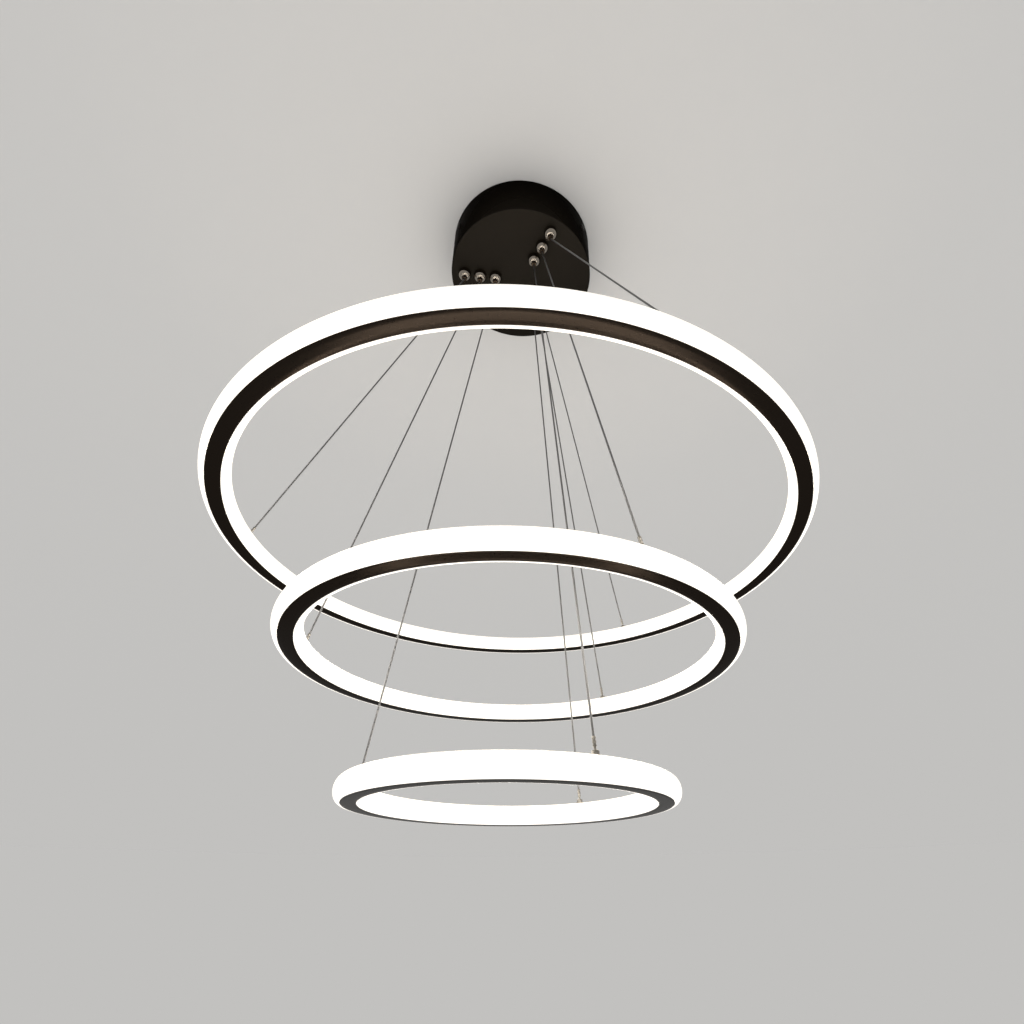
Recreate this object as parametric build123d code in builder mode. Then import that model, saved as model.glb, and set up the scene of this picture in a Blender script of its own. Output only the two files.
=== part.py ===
from build123d import *
from math import cos, radians, sin
import os

os.makedirs("parts", exist_ok=True)

# Ceiling light with three level glowing rings, each hung on three steel wires from cable
# grips in a round canopy. All sizes are in millimetres. The origin is the middle of the
# ceiling face, +Z is up, and everything hangs below it.

# ---- driving dimensions ----

# canopy: a steel drum closed at the bottom, open towards the ceiling
canopy_radius = 65.4
canopy_height = 44.0
canopy_wall = 1.2
canopy_edge_radius = 0.7
ceiling_gap = 0.3  # from the drum's rim to the ceiling

# mounting plate, screwed to the ceiling inside the canopy
plate_rim_gap = 6.2  # from the plate's rim to the drum's wall
plate_thickness = 1.5
ceiling_hole_spacing_x = 72.0
ceiling_hole_spacing_y = 64.0
ceiling_hole_radius = 2.25
cable_hole_radius = 7.0
cable_hole_rim_distance = 26.0  # from the plate's rim to the hole's middle
tab_width = 12.0
tab_drop = 22.0
tab_clearance = 0.6  # from a tab to the drum's wall

# the three evenly spaced screws through the drum's wall into the tabs
cover_screw_count = 3
first_cover_screw_azimuth = -29.0
cover_screw_drop = 15.3
cover_screw_radius = 1.5
cover_screw_head_radius = 2.7
cover_screw_head_height = 1.5
cover_screw_rounding = 0.75
cover_screw_length = 6.0
screw_clearance = 0.1  # round each plain screw hole

# driver: a plastic case that hangs under the plate
driver_length = 86.0
driver_width = 34.0
driver_case_height = 18.0
driver_wall = 1.5
driver_corner = 3.0
driver_lid_thickness = 2.0
driver_lid_corner = 2.6
driver_ear = 8.0
driver_screw_radius = 1.5
driver_screw_head_radius = 2.8
driver_screw_head_height = 1.8
board_thickness = 1.6
board_clearance = 0.5
board_post_radius = 2.2
board_post_inset = 4.4  # from the case's inner wall to the post's middle
board_post_height = 11.0
transformer_length = 17.0
transformer_width = 15.0
capacitor_radius = 5.0
choke_length = 11.5
choke_width = 10.0
choke_corner = 2.0
component_offset = 23.0  # from the board's middle to the capacitor and to the choke
component_clearance = 1.2  # from the components to the case's floor

# terminal block and earth screw
terminal_length = 28.0
terminal_width = 16.0
terminal_height = 13.0
terminal_corner = 1.2
terminal_rim_distance = 18.0  # from the plate's rim to the block's middle
terminal_pitch = 8.6
terminal_bore_radius = 1.7
terminal_screw_radius = 1.4
terminal_screw_gap = 0.2  # from a screw's tip to its bore
earth_screw_azimuth = -63.0
earth_screw_rim_distance = 12.0
earth_screw_radius = 2.0
earth_screw_head_radius = 3.8
earth_screw_head_height = 2.4

# cable grips in the canopy's face, three on each of three radial lines
grip_azimuths = {"left": 187.5, "front": 301.5, "back": 64.5}
grip_edge_distance = 12.4  # from the drum's outside to the outermost grips' middle
grip_pitch = 14.4
grip_dome_radius = 5.8
grip_dome_height = 7.0
grip_dome_rounding = 4.2
grip_neck_radius = 4.0
grip_neck_height = 11.0
grip_hole_clearance = 0.15
grip_bore_radius = 2.6
thread_clearance = 0.1
grip_chamber_radius = 3.2
grip_seat_depth = 1.0  # bottom of the conical seat, below the canopy's face
grip_seat_height = 4.0
grip_cap_thickness = 1.4
grip_cap_spigot = 1.4
locknut_across_flats = 11.0
locknut_height = 3.4

# release plunger in each grip, and its spring
plunger_travel = 1.5
plunger_pressed_reach = 1.1  # what still stands below the dome when it is pressed
plunger_rounding = 0.55
plunger_collet_height = 2.4
plunger_clearance = 0.3
plunger_bore_radius = 0.95
spring_wall = 0.5

# suspension wire
wire_radius = 0.6
wire_tail_reach = 3.2  # above the grip's cap
lead_radius = 0.7
lead_bend = 2.4
lead_bend_share = 0.9  # of a short run, which the bend may take up

# ring profile: an aluminium channel with a milky diffuser on each side
band_width = 8.8
profile_height = 12.4
flange_thickness = 1.4
web_thickness = 3.0
diffuser_bulge = 4.3
diffuser_wall = 1.2
diffuser_leg = 1.5
diffuser_leg_thickness = 1.0
diffuser_clearance = 0.1
strip_tape_height = 8.0
strip_tape_thickness = 0.5
strip_bead_height = 3.2
strip_bead_thickness = 0.9
strip_glue = 0.1

# the rings: outer radius of the black band, and the drop of its underside
band_radii = {"large": 196.0, "middle": 139.7, "small": 92.4}
ring_drops = {"large": 346.0, "middle": 430.2, "small": 516.3}

# the evenly spaced ball studs on a ring, and the ball-ended ferrule on each wire
first_stud_azimuth = 180.0
stud_base_radius = 2.4
stud_base_height = 1.0
stud_cup_radius = 1.9
stud_cup_height = 1.9
stud_shank_radius = 0.9
stud_shank_length = 4.0
stud_shank_clearance = 0.1
ball_radius = 1.2
ball_clearance = 0.3
ferrule_neck_radius = 0.6
ferrule_neck_length = 2.2
ferrule_radius = 1.0
ferrule_length = 5.0

# ---- levels and radii worked out from the sizes above ----

face_z = -canopy_height
face_top_z = face_z + canopy_wall
drum_inner_radius = canopy_radius - canopy_wall
plate_radius = drum_inner_radius - plate_rim_gap
cable_hole_y = cable_hole_rim_distance - plate_radius
terminal_y = plate_radius - terminal_rim_distance
earth_screw_x = (plate_radius - earth_screw_rim_distance) * cos(radians(earth_screw_azimuth))
earth_screw_y = (plate_radius - earth_screw_rim_distance) * sin(radians(earth_screw_azimuth))
plate_z = -plate_thickness
lid_z = plate_z - driver_lid_thickness
case_bottom_z = lid_z - driver_case_height
case_floor_z = case_bottom_z + driver_wall
board_z = case_floor_z + board_post_height
neck_top_z = face_top_z + grip_neck_height
cap_top_z = neck_top_z + grip_cap_thickness
chamber_top_z = neck_top_z - grip_cap_spigot
seat_bottom_z = face_z - grip_seat_depth
seat_top_z = seat_bottom_z + grip_seat_height
dome_bottom_z = face_z - grip_dome_height
mouth_z = dome_bottom_z - plunger_pressed_reach - plunger_travel
collet_top_z = seat_top_z + plunger_collet_height
tail_top_z = cap_top_z + wire_tail_reach
tab_radius = drum_inner_radius - tab_clearance
plunger_radius = grip_bore_radius - plunger_clearance
collet_radius = grip_chamber_radius - plunger_clearance
cover_screw_azimuths = [
    first_cover_screw_azimuth + turn * 360 / cover_screw_count for turn in range(cover_screw_count)
]
stud_azimuths = {
    line: first_stud_azimuth + turn * 360 / len(grip_azimuths)
    for turn, line in enumerate(grip_azimuths)
}
grip_radii = {
    size: canopy_radius - grip_edge_distance - place * grip_pitch
    for place, size in enumerate(band_radii)
}


def band_middle(size):
    return band_radii[size] - band_width / 2


def ring_bottom(size):
    return -ring_drops[size]


def ring_top(size):
    return ring_bottom(size) + profile_height


def around(azimuth, radius, z):
    """The point at an azimuth in degrees and a radius from the middle, at height z."""
    return Vector(radius * cos(radians(azimuth)), radius * sin(radians(azimuth)), z)


def at_grip(size, line, z):
    return around(grip_azimuths[line], grip_radii[size], z)


def at_stud(size, line, z):
    return around(stud_azimuths[line], band_middle(size), z)


def grip_plane(size, line, z):
    return Plane(origin=at_grip(size, line, z))


def ball_centre(size, line):
    ball_z = ring_top(size) + stud_base_height + ball_clearance + ball_radius
    return at_stud(size, line, ball_z)


def wire_mouth(size, line):
    return at_grip(size, line, mouth_z)


def wire_plane(size, line, distance):
    """Plane across the slanted wire, a distance up from the middle of its ball."""
    start = ball_centre(size, line)
    direction = (wire_mouth(size, line) - start).normalized()
    return Plane(origin=start + direction * distance, z_dir=direction)


def finish(part, name):
    part.label = name
    export_step(part, f"parts/{name}.step")


all_grips = [(size, line) for size in band_radii for line in grip_azimuths]

# ---- canopy ----

with BuildPart() as mounting_plate:
    with BuildSketch(Plane.XY.offset(plate_z)):
        Circle(plate_radius)
        for azimuth in cover_screw_azimuths:
            with Locations(Rotation(0, 0, azimuth) * Pos(tab_radius / 2, 0)):
                Rectangle(tab_radius, tab_width)
        with GridLocations(ceiling_hole_spacing_x, ceiling_hole_spacing_y, 2, 2):
            Circle(ceiling_hole_radius, mode=Mode.SUBTRACT)
        with Locations((0, cable_hole_y)):
            Circle(cable_hole_radius, mode=Mode.SUBTRACT)
        with Locations((earth_screw_x, earth_screw_y)):
            Circle(earth_screw_radius + screw_clearance, mode=Mode.SUBTRACT)
        with GridLocations(driver_length + driver_ear, 0, 2, 1):
            Circle(driver_screw_radius + screw_clearance, mode=Mode.SUBTRACT)
    extrude(amount=plate_thickness)
    for azimuth in cover_screw_azimuths:
        tab_plane = Plane.XY.offset(-tab_drop).rotated((0, 0, azimuth))
        with BuildSketch(tab_plane):
            with Locations((tab_radius - plate_thickness / 2, 0)):
                Rectangle(plate_thickness, tab_width)
        extrude(amount=tab_drop)
        tab_face = around(azimuth, tab_radius, -cover_screw_drop)
        with BuildSketch(Plane(origin=tab_face, z_dir=around(azimuth, 1, 0))):
            Circle(cover_screw_radius + screw_clearance)
        extrude(amount=-plate_thickness, mode=Mode.SUBTRACT)
finish(mounting_plate.part, "mounting_plate")

with BuildPart() as canopy_cover:
    with BuildSketch(Plane.XY.offset(face_z)):
        Circle(canopy_radius)
    extrude(amount=canopy_height - ceiling_gap)
    bottom_edge = canopy_cover.edges().group_by(Axis.Z)[0]
    fillet(bottom_edge, canopy_edge_radius)
    with BuildSketch(Plane.XY.offset(face_top_z)):
        Circle(drum_inner_radius)
    extrude(amount=canopy_height, mode=Mode.SUBTRACT)
    with BuildSketch(Plane.XY.offset(face_z)):
        for size, line in all_grips:
            centre = at_grip(size, line, 0)
            with Locations((centre.X, centre.Y)):
                Circle(grip_neck_radius + grip_hole_clearance)
    extrude(amount=canopy_wall, mode=Mode.SUBTRACT)
    for azimuth in cover_screw_azimuths:
        drum_face = around(azimuth, canopy_radius, -cover_screw_drop)
        with BuildSketch(Plane(origin=drum_face, z_dir=around(azimuth, 1, 0))):
            Circle(cover_screw_radius + screw_clearance)
        extrude(amount=-cover_screw_length, mode=Mode.SUBTRACT)
finish(canopy_cover.part, "canopy_cover")

with BuildPart() as cover_screws:
    for azimuth in cover_screw_azimuths:
        seat = around(azimuth, canopy_radius, -cover_screw_drop)
        head_top = around(azimuth, canopy_radius + cover_screw_head_height, -cover_screw_drop)
        head_plane = Plane(origin=seat, z_dir=around(azimuth, 1, 0))
        with BuildSketch(head_plane):
            Circle(cover_screw_head_radius)
        extrude(amount=cover_screw_head_height)
        head_face = cover_screws.faces().sort_by_distance(head_top)[0]
        fillet(head_face.edges(), cover_screw_rounding)
        with BuildSketch(head_plane):
            Circle(cover_screw_radius)
        extrude(amount=-cover_screw_length)
finish(cover_screws.part, "cover_screws")

# ---- driver ----

with BuildPart() as driver_lid:
    with BuildSketch(Plane.XY.offset(lid_z)):
        RectangleRounded(driver_length + 2 * driver_ear, driver_width, driver_lid_corner)
        with GridLocations(driver_length + driver_ear, 0, 2, 1):
            Circle(driver_screw_radius + screw_clearance, mode=Mode.SUBTRACT)
    extrude(amount=driver_lid_thickness)
finish(driver_lid.part, "driver_lid")

case_inner_length = driver_length - 2 * driver_wall
case_inner_width = driver_width - 2 * driver_wall
with BuildPart() as driver_case:
    with BuildSketch(Plane.XY.offset(case_bottom_z)):
        RectangleRounded(driver_length, driver_width, driver_corner)
    extrude(amount=driver_case_height)
    with BuildSketch(Plane.XY.offset(case_floor_z)):
        RectangleRounded(case_inner_length, case_inner_width, driver_corner - driver_wall)
    extrude(amount=driver_case_height, mode=Mode.SUBTRACT)
    post_span_x = case_inner_length - 2 * board_post_inset
    post_span_y = case_inner_width - 2 * board_post_inset
    with BuildSketch(Plane.XY.offset(case_floor_z)):
        with GridLocations(post_span_x, post_span_y, 2, 2):
            Circle(board_post_radius)
    extrude(amount=board_post_height)
finish(driver_case.part, "driver_case")

with BuildPart() as driver_board:
    with BuildSketch(Plane.XY.offset(board_z)):
        Rectangle(case_inner_length - 2 * board_clearance, case_inner_width - 2 * board_clearance)
    extrude(amount=board_thickness)
    # the transformer, the reservoir capacitor and the input choke hang under the board
    with BuildSketch(Plane.XY.offset(board_z)):
        Rectangle(transformer_length, transformer_width)
        with Locations((component_offset, 0)):
            Circle(capacitor_radius)
        with Locations((-component_offset, 0)):
            RectangleRounded(choke_length, choke_width, choke_corner)
    extrude(amount=component_clearance - board_post_height)
finish(driver_board.part, "driver_board")

with BuildPart() as driver_screws:
    for side in (1, -1):
        ear_x = side * (driver_length + driver_ear) / 2
        with BuildSketch(Plane.XY.offset(lid_z)):
            with Locations((ear_x, 0)):
                Circle(driver_screw_head_radius)
        extrude(amount=-driver_screw_head_height)
        with BuildSketch(Plane.XY.offset(lid_z)):
            with Locations((ear_x, 0)):
                Circle(driver_screw_radius)
        extrude(amount=driver_lid_thickness + plate_thickness)
finish(driver_screws.part, "driver_screws")

with BuildPart() as terminal_block:
    with BuildSketch(Plane.XY.offset(plate_z)):
        with Locations((0, terminal_y)):
            RectangleRounded(terminal_length, terminal_width, terminal_corner)
    extrude(amount=-terminal_height)
    with BuildSketch(Plane.XZ.offset(-terminal_y + terminal_width / 2)):
        with Locations((0, plate_z - terminal_height / 2)):
            with GridLocations(terminal_pitch, 0, 3, 1):
                Circle(terminal_bore_radius)
    extrude(amount=-terminal_width, mode=Mode.SUBTRACT)
    with BuildSketch(Plane.XY.offset(plate_z - terminal_height)):
        with Locations((0, terminal_y)):
            with GridLocations(terminal_pitch, 0, 3, 1):
                Circle(terminal_screw_radius + screw_clearance)
    extrude(amount=terminal_height / 2, mode=Mode.SUBTRACT)
finish(terminal_block.part, "terminal_block")

with BuildPart() as terminal_screws:
    with BuildSketch(Plane.XY.offset(plate_z - terminal_height)):
        with Locations((0, terminal_y)):
            with GridLocations(terminal_pitch, 0, 3, 1):
                Circle(terminal_screw_radius)
    extrude(amount=terminal_height / 2 - terminal_bore_radius - terminal_screw_gap)
finish(terminal_screws.part, "terminal_screws")

with BuildPart() as earth_screw:
    with BuildSketch(Plane.XY.offset(plate_z)):
        with Locations((earth_screw_x, earth_screw_y)):
            Circle(earth_screw_head_radius)
    extrude(amount=-earth_screw_head_height)
    with BuildSketch(Plane.XY.offset(plate_z)):
        with Locations((earth_screw_x, earth_screw_y)):
            Circle(earth_screw_radius)
    extrude(amount=plate_thickness)
finish(earth_screw.part, "earth_screw")

# two short mains conductors from the terminal block to the driver's side
terminal_face_y = terminal_y - terminal_width / 2
mains_run = terminal_face_y - driver_width / 2
with BuildPart() as mains_leads:
    with BuildSketch(Plane.XZ.offset(-terminal_face_y)):
        with Locations((0, plate_z - terminal_height / 2)):
            with GridLocations(2 * terminal_pitch, 0, 2, 1):
                Circle(lead_radius)
    extrude(amount=mains_run)
finish(mains_leads.part, "mains_leads")

# ---- cable grips ----

with BuildPart() as grip_housings:
    for size, line in all_grips:
        with BuildSketch(grip_plane(size, line, dome_bottom_z)):
            Circle(grip_dome_radius)
        extrude(amount=grip_dome_height)
        dome_bottom = at_grip(size, line, dome_bottom_z)
        dome_face = grip_housings.faces().sort_by_distance(dome_bottom)[0]
        fillet(dome_face.edges(), grip_dome_rounding)
        with BuildSketch(grip_plane(size, line, face_z)):
            Circle(grip_neck_radius)
        extrude(amount=neck_top_z - face_z)
        with BuildSketch(grip_plane(size, line, dome_bottom_z)):
            Circle(grip_bore_radius)
        extrude(amount=seat_bottom_z - dome_bottom_z, mode=Mode.SUBTRACT)
        with BuildSketch(grip_plane(size, line, seat_bottom_z)):
            Circle(grip_bore_radius)
        with BuildSketch(grip_plane(size, line, seat_top_z)):
            Circle(grip_chamber_radius)
        loft(mode=Mode.SUBTRACT)
        with BuildSketch(grip_plane(size, line, seat_top_z)):
            Circle(grip_chamber_radius)
        extrude(amount=neck_top_z - seat_top_z, mode=Mode.SUBTRACT)
finish(grip_housings.part, "grip_housings")

with BuildPart() as grip_locknuts:
    for size, line in all_grips:
        with BuildSketch(grip_plane(size, line, face_top_z)):
            RegularPolygon(locknut_across_flats / 2, 6, major_radius=False)
            Circle(grip_neck_radius + thread_clearance, mode=Mode.SUBTRACT)
        extrude(amount=locknut_height)
finish(grip_locknuts.part, "grip_locknuts")

with BuildPart() as grip_caps:
    for size, line in all_grips:
        with BuildSketch(grip_plane(size, line, neck_top_z)):
            Circle(grip_neck_radius)
        extrude(amount=grip_cap_thickness)
        with BuildSketch(grip_plane(size, line, chamber_top_z)):
            Circle(grip_chamber_radius - thread_clearance)
        extrude(amount=grip_cap_spigot)
        with BuildSketch(grip_plane(size, line, chamber_top_z)):
            Circle(plunger_bore_radius)
        extrude(amount=grip_cap_spigot + grip_cap_thickness, mode=Mode.SUBTRACT)
finish(grip_caps.part, "grip_caps")

for size, line in all_grips:
    name = f"release_plunger_{size}_{line}"
    with BuildPart() as release_plunger:
        with BuildSketch(grip_plane(size, line, mouth_z)):
            Circle(plunger_radius)
        extrude(amount=seat_bottom_z - mouth_z)
        mouth_rim = release_plunger.edges().group_by(Axis.Z)[0]
        fillet(mouth_rim, plunger_rounding)
        with BuildSketch(grip_plane(size, line, seat_bottom_z)):
            Circle(plunger_radius)
        with BuildSketch(grip_plane(size, line, seat_top_z)):
            Circle(collet_radius)
        loft()
        with BuildSketch(grip_plane(size, line, seat_top_z)):
            Circle(collet_radius)
        extrude(amount=plunger_collet_height)
        with BuildSketch(grip_plane(size, line, mouth_z)):
            Circle(plunger_bore_radius)
        extrude(amount=collet_top_z - mouth_z, mode=Mode.SUBTRACT)
    finish(release_plunger.part, name)

    name = f"return_spring_{size}_{line}"
    with BuildPart() as return_spring:
        with BuildSketch(grip_plane(size, line, collet_top_z)):
            Circle(collet_radius)
            Circle(collet_radius - spring_wall, mode=Mode.SUBTRACT)
        extrude(amount=chamber_top_z - collet_top_z)
    finish(return_spring.part, name)

# the straight upper ends of the wires, inside the grips
with BuildPart() as wire_tails:
    for size, line in all_grips:
        with BuildSketch(grip_plane(size, line, mouth_z)):
            Circle(wire_radius)
        extrude(amount=tail_top_z - mouth_z)
finish(wire_tails.part, "wire_tails")

# low-voltage leads from the driver to the front and left wires, which carry the current
lead_out_z = case_bottom_z + driver_case_height / 2


def over_case(top):
    """The place in the case's floor that is nearest to a wire's top."""
    reach_x = case_inner_length / 2 - lead_radius
    reach_y = case_inner_width / 2 - lead_radius
    return Vector(
        max(-reach_x, min(reach_x, top.X)), max(-reach_y, min(reach_y, top.Y)), case_bottom_z
    )


def lead_exit(line, top):
    """Where a lead leaves the driver: at its long side for the front line, else at its end."""
    if line == "front":
        return Vector(over_case(top).X, -driver_width / 2, lead_out_z)
    return Vector(-driver_length / 2, over_case(top).Y, lead_out_z)


with BuildPart() as output_leads:
    for size in band_radii:
        for line in ("front", "left"):
            top = at_grip(size, line, tail_top_z)
            start = lead_exit(line, top)
            corner = Vector(top.X, top.Y, lead_out_z)
            is_outside = abs(top.X) > driver_length / 2 or abs(top.Y) > driver_width / 2
            run_out = (corner - start).length
            if is_outside and run_out > 2 * lead_radius:
                bend = min(lead_bend, lead_bend_share * run_out)
                with BuildLine():
                    FilletPolyline(start, corner, top, radius=bend)
                with BuildSketch(Plane(origin=start, z_dir=corner - start)):
                    Circle(lead_radius)
                sweep()
            else:
                with BuildSketch(Plane(origin=top)):
                    Circle(lead_radius)
                with BuildSketch(Plane(origin=over_case(top))):
                    Circle(lead_radius)
                loft()
finish(output_leads.part, "output_leads")

# ---- rings ----

for size in band_radii:
    bottom = ring_bottom(size)
    middle_z = bottom + profile_height / 2
    middle_r = band_middle(size)

    with BuildPart() as ring_frame:
        with BuildSketch(Plane.XZ):
            with Locations(
                (middle_r, bottom + flange_thickness / 2),
                (middle_r, bottom + profile_height - flange_thickness / 2),
            ):
                Rectangle(band_width, flange_thickness)
            with Locations((middle_r, middle_z)):
                Rectangle(web_thickness, profile_height)
        revolve(axis=Axis.Z)
        for line in stud_azimuths:
            seat = at_stud(size, line, ring_top(size))
            with BuildSketch(Plane(origin=seat)):
                Circle(stud_shank_radius + stud_shank_clearance)
            extrude(amount=-stud_shank_length, mode=Mode.SUBTRACT)
    finish(ring_frame.part, f"{size}_ring_frame")

    for place, side in (("outer", 1), ("inner", -1)):
        edge_r = middle_r + side * (band_width / 2 + diffuser_clearance)
        leg_z = profile_height / 2 - flange_thickness - diffuser_leg_thickness / 2
        with BuildPart() as diffuser:
            with BuildSketch(Plane.XZ):
                with Locations((edge_r, middle_z)):
                    Ellipse(diffuser_bulge - diffuser_clearance, profile_height / 2)
                    Ellipse(
                        diffuser_bulge - diffuser_clearance - diffuser_wall,
                        profile_height / 2 - flange_thickness - diffuser_leg_thickness,
                        mode=Mode.SUBTRACT,
                    )
                with Locations((edge_r - side * diffuser_bulge / 2, middle_z)):
                    Rectangle(diffuser_bulge, profile_height, mode=Mode.SUBTRACT)
                leg_r = edge_r - side * diffuser_leg / 2
                with Locations((leg_r, middle_z + leg_z), (leg_r, middle_z - leg_z)):
                    Rectangle(diffuser_leg, diffuser_leg_thickness)
            revolve(axis=Axis.Z)
        finish(diffuser.part, f"{size}_ring_{place}_diffuser")

        tape_r = middle_r + side * (web_thickness / 2 + strip_glue + strip_tape_thickness / 2)
        bead_r = tape_r + side * (strip_tape_thickness + strip_bead_thickness) / 2
        with BuildPart() as led_strip:
            with BuildSketch(Plane.XZ):
                with Locations((tape_r, middle_z)):
                    Rectangle(strip_tape_thickness, strip_tape_height)
                with Locations((bead_r, middle_z)):
                    Rectangle(strip_bead_thickness, strip_bead_height)
            revolve(axis=Axis.Z)
        finish(led_strip.part, f"{size}_ring_{place}_led_strip")

    with BuildPart() as ball_studs:
        for line in stud_azimuths:
            seat = at_stud(size, line, ring_top(size))
            with BuildSketch(Plane(origin=seat)):
                Circle(stud_base_radius)
            extrude(amount=stud_base_height)
            with BuildSketch(Plane(origin=seat)):
                Circle(stud_shank_radius)
            extrude(amount=-stud_shank_length)
            with BuildSketch(Plane(origin=seat + Vector(0, 0, stud_base_height))):
                Circle(stud_cup_radius)
            extrude(amount=stud_cup_height)
            with Locations(ball_centre(size, line)):
                Sphere(ball_radius + ball_clearance, mode=Mode.SUBTRACT)
    finish(ball_studs.part, f"{size}_ring_ball_studs")

    with BuildPart() as ball_ferrules:
        for line in stud_azimuths:
            with Locations(ball_centre(size, line)):
                Sphere(ball_radius)
            with BuildSketch(wire_plane(size, line, 0)):
                Circle(ferrule_neck_radius)
            extrude(amount=ferrule_neck_length)
            with BuildSketch(wire_plane(size, line, ferrule_neck_length)):
                Circle(ferrule_radius)
            extrude(amount=ferrule_length)
    finish(ball_ferrules.part, f"{size}_ring_ball_ferrules")

    ferrule_end = ferrule_neck_length + ferrule_length
    with BuildPart() as suspension_wires:
        for line in stud_azimuths:
            span = wire_mouth(size, line) - ball_centre(size, line)
            slant = span.get_angle(Vector(0, 0, 1))
            mouth_margin = wire_radius * sin(radians(slant))
            with BuildSketch(wire_plane(size, line, ferrule_end)):
                Circle(wire_radius)
            extrude(amount=span.length - ferrule_end - mouth_margin)
            print(size, line, "wire", round(span.length, 1), "mm from grip to ball, slant", round(slant, 1))
    finish(suspension_wires.part, f"{size}_ring_wires")
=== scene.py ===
from math import cos, pi, radians, sin

import bpy
from mathutils import Matrix, Vector


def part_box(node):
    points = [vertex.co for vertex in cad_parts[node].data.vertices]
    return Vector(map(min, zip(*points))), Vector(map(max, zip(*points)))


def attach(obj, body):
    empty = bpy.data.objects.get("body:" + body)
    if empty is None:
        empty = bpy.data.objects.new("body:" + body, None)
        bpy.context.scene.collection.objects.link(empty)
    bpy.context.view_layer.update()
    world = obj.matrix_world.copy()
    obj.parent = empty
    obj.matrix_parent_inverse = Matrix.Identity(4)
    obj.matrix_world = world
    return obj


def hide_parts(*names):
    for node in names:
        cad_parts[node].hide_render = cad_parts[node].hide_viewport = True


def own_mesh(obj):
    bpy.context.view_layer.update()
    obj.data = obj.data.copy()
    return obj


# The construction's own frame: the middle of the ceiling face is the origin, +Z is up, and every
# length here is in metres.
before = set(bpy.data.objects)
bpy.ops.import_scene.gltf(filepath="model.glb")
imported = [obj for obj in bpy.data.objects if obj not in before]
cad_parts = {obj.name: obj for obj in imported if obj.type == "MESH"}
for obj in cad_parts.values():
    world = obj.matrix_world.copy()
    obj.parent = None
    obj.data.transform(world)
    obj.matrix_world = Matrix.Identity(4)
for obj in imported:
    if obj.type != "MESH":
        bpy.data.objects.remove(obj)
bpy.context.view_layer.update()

# ---- camera ----
# The photograph was taken from just below the lowest ring, in front of the lamp and a little to
# its right, with a wide lens tilted upwards.
camera_place = Vector((0.02104, -0.35789, -0.56233))
camera_tilt = radians(28.798)
camera_roll = radians(-0.363)
sensor_width = 36
focal_length = 20.818
shift_right = -0.0323
shift_up = 0.0618

bpy.ops.object.camera_add(location=camera_place)
camera = bpy.context.object
camera.matrix_world = (
    Matrix.Translation(camera_place)
    @ Matrix.Rotation(pi / 2 + camera_tilt, 4, "X")
    @ Matrix.Rotation(camera_roll, 4, "Z")
)
camera.data.sensor_width = sensor_width
camera.data.lens = focal_length
camera.data.shift_x = shift_right
camera.data.shift_y = shift_up
bpy.context.scene.camera = camera
bpy.context.scene.view_settings.view_transform = "Standard"


# ---- ceiling and light ----
# The lamp is lit by plain, even light from below and by its own rings, and hangs from a matt
# painted ceiling that has the canopy's opening in it. Seen from above, the ceiling is clear.
ceiling_gap = 0.0004
ceiling_opening = 0.0648
ceiling_radius = 9.0
ceiling_sides = 192
painted_grey = "c2c1bf"


def linear(hex_colour):
    """An sRGB colour written as six hex digits, as the linear colour that a shader takes."""
    channels = [int(hex_colour[place : place + 2], 16) / 255 for place in (0, 2, 4)]
    curve = [c / 12.92 if c <= 0.04045 else ((c + 0.055) / 1.055) ** 2.4 for c in channels]
    return (*curve, 1)


def add_node(tree, kind, values=None, links=None, **settings):
    """Adds a node with its settings, the values of its inputs, and the links into them."""
    new = tree.nodes.new(kind)
    for name, value in settings.items():
        setattr(new, name, value)
    for name, value in (values or {}).items():
        new.inputs[name].default_value = value
    for name, socket in (links or {}).items():
        tree.links.new(socket, new.inputs[name])
    return new


def new_material(name):
    """A material with its node tree and its shader."""
    material = bpy.data.materials.new(name)
    material.use_nodes = True
    return material, material.node_tree, material.node_tree.nodes["Principled BSDF"]


def fresh(operator, **settings):
    """Adds a primitive with nothing else selected, and returns it."""
    bpy.ops.object.select_all(action="DESELECT")
    operator(**settings)
    return bpy.context.object


def matt_paint(name, hex_colour):
    """Matt emulsion on plaster, flat and even."""
    material, tree, shader = new_material(name)
    shader.inputs["Base Color"].default_value = linear(hex_colour)
    shader.inputs["Roughness"].default_value = 0.95
    shader.inputs["Specular IOR Level"].default_value = 0.1
    return material, tree, shader


ceiling = fresh(
    bpy.ops.mesh.primitive_circle_add,
    vertices=ceiling_sides,
    radius=ceiling_opening,
    fill_type="NOTHING",
    location=(0, 0, ceiling_gap),
)
ceiling.name = "ceiling"
bpy.ops.object.mode_set(mode="EDIT")
bpy.ops.mesh.select_all(action="SELECT")
bpy.ops.mesh.extrude_edges_move()
bpy.ops.transform.resize(value=(ceiling_radius / ceiling_opening,) * 2 + (1,))
bpy.ops.mesh.select_all(action="SELECT")
bpy.ops.mesh.normals_make_consistent(inside=False)
bpy.ops.object.mode_set(mode="OBJECT")
if ceiling.data.polygons[0].normal.z > 0:
    ceiling.data.flip_normals()
paint, tree, shader = matt_paint("ceiling_emulsion", painted_grey)
side = add_node(tree, "ShaderNodeNewGeometry")
clear = add_node(tree, "ShaderNodeBsdfTransparent")
one_sided = add_node(
    tree,
    "ShaderNodeMixShader",
    links={0: side.outputs["Backfacing"], 1: shader.outputs[0], 2: clear.outputs[0]},
)
tree.links.new(one_sided.outputs[0], tree.nodes["Material Output"].inputs["Surface"])
ceiling.data.materials.append(paint)

world = bpy.data.worlds.new("even_room_light")
bpy.context.scene.world = world
world.use_nodes = True
room = world.node_tree
light = room.nodes["Background"]
light.inputs["Color"].default_value = linear("ffffff")
light.inputs["Strength"].default_value = 1.0
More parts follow.
